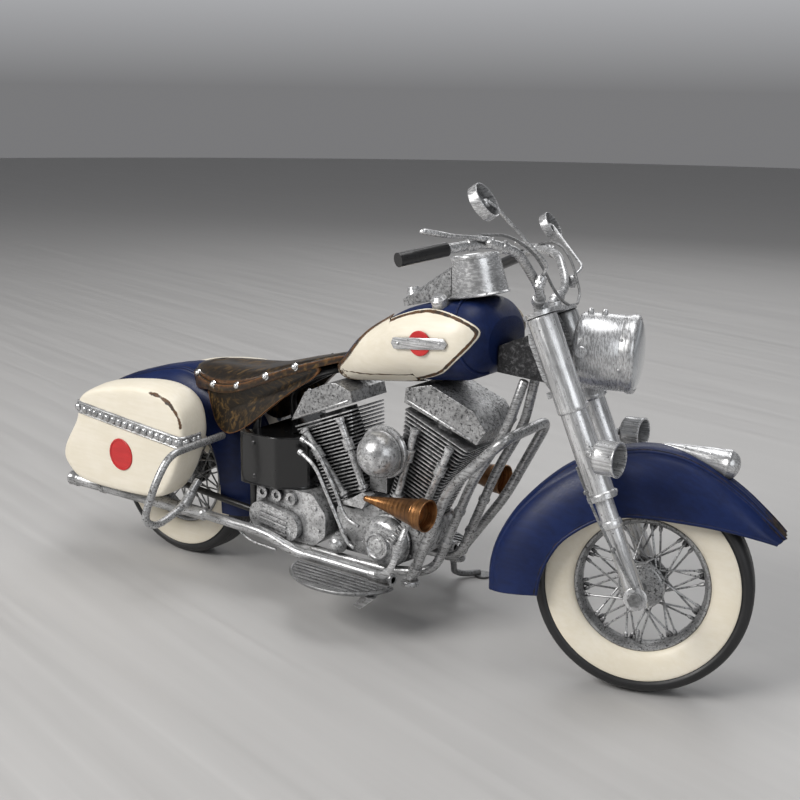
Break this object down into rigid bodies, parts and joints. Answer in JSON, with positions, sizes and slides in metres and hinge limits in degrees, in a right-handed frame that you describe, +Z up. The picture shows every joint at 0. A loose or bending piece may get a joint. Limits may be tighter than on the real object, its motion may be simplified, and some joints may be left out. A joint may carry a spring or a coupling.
{
  "type": "tin model cruiser motorcycle",
  "caption": "Vintage-style tin cruiser motorcycle in navy and cream, with saddlebags, studded saddle, wire wheels that roll, a fork that steers and a folding side stand.",
  "frame": {"origin": "on the floor, under the middle of the model's box as it stands", "axes": "+X towards the front wheel, +Y to the rider's left, +Z up"},
  "size_m": [0.3951, 0.1677, 0.216],
  "materials": {
    "frame_black": "black paint rubbed through to metal at the edges",
    "cast_iron_dark": "dark grey, rough, with silver rubbed edges",
    "wash_silver": "silver with a dark wash in the corners",
    "dark_steel": "darkened steel",
    "pipe_steel": "worn steel tube",
    "gloss_black": "glossy black paint",
    "horn_brass": "aged brass",
    "bright_steel": "brushed silver with dark specks",
    "lamp_glass": "rounded silvered glass",
    "navy_paint": "satin navy, worn dark at the edges",
    "cream_paint": "satin cream, edges worn brown",
    "badge_red": "red disc under a grey bar",
    "saddle_leather": "dark brown with golden brush strokes",
    "stud_metal": "bright rounded studs",
    "wheel_silver": "silver with a dark wash",
    "tyre_black": "black with cream side walls",
    "grip_black": "smooth black"
  },
  "bodies": {
    "chassis": {"frame": "frame_black", "neck_casting": "cast_iron_dark", "rear_axle": "dark_steel", "crankcase": "wash_silver", "cam_cover": "wash_silver", "primary_cover": "wash_silver", "filter_ball": "wash_silver", "gearbox_case": "wash_silver", "gearbox_cover": "wash_silver", "ring_bolts": "wash_silver", "oil_tank": "gloss_black", "wire_lines": "dark_steel", "cylinder_rear": "wash_silver", "cylinder_front": "wash_silver", "rocker_box_rear": "wash_silver", "rocker_box_front": "wash_silver", "pushrod_tubes": "wash_silver", "carburettor": "dark_steel", "air_cleaner": "wash_silver", "horns": "horn_brass", "engine_guard": "pipe_steel", "exhaust_right": "pipe_steel", "exhaust_left": "pipe_steel", "footboard_right": "dark_steel", "footboard_left": "dark_steel", "brake_pedal": "bright_steel", "pedal_spring": "dark_steel", "fuel_tank": "navy_paint", "tank_panels": "cream_paint", "tank_badges": "badge_red", "console": "bright_steel", "speedo_pod": "bright_steel", "filler_caps": "bright_steel", "saddle": "saddle_leather", "saddle_studs": "stud_metal", "rear_fender": "navy_paint", "saddlebag_right": "cream_paint", "saddlebag_left": "cream_paint", "bag_straps": "bright_steel", "bag_guards": "pipe_steel"},
    "rear_wheel": {"rear_rim": "wheel_silver", "rear_spokes": "wheel_silver", "rear_tyre": "tyre_black"},
    "front_fork": {"fork_stem": "bright_steel", "fork_legs": "bright_steel", "headlight_shell": "bright_steel", "headlight_lens": "lamp_glass", "passing_lamps": "bright_steel", "handlebar": "bright_steel", "grips": "grip_black", "levers": "bright_steel", "mirrors": "bright_steel", "control_cables": "dark_steel", "front_fender": "navy_paint", "fender_lamp": "bright_steel", "front_axle": "dark_steel"},
    "front_wheel": {"front_rim": "wheel_silver", "front_spokes": "wheel_silver", "front_tyre": "tyre_black"},
    "stand": {"kickstand": "dark_steel"}
  },
  "joints": [
    {"name": "rear_wheel_spin", "type": "hinge", "parent": "chassis", "child": "rear_wheel", "pos_m": [-0.1265, 0.009, 0.046], "axis": [0, 1, 0], "continuous": true},
    {"name": "steering", "type": "hinge", "parent": "chassis", "child": "front_fork", "pos_m": [0.09587, 0.009, 0.14506], "axis": [-0.4067, 0, 0.9135], "range_deg": [-47.5, 8.5]},
    {"name": "front_wheel_spin", "type": "hinge", "parent": "front_fork", "child": "front_wheel", "pos_m": [0.14332, 0.01013, 0.04632], "axis": [-0.3049, 0.9426, -0.1358], "continuous": true},
    {"name": "stand_fold", "type": "hinge", "parent": "chassis", "child": "stand", "pos_m": [0.0335, 0.0308, 0.0229], "axis": [-0.1173, 0.4758, 0.8717], "range_deg": [0, 70]}
  ]
}
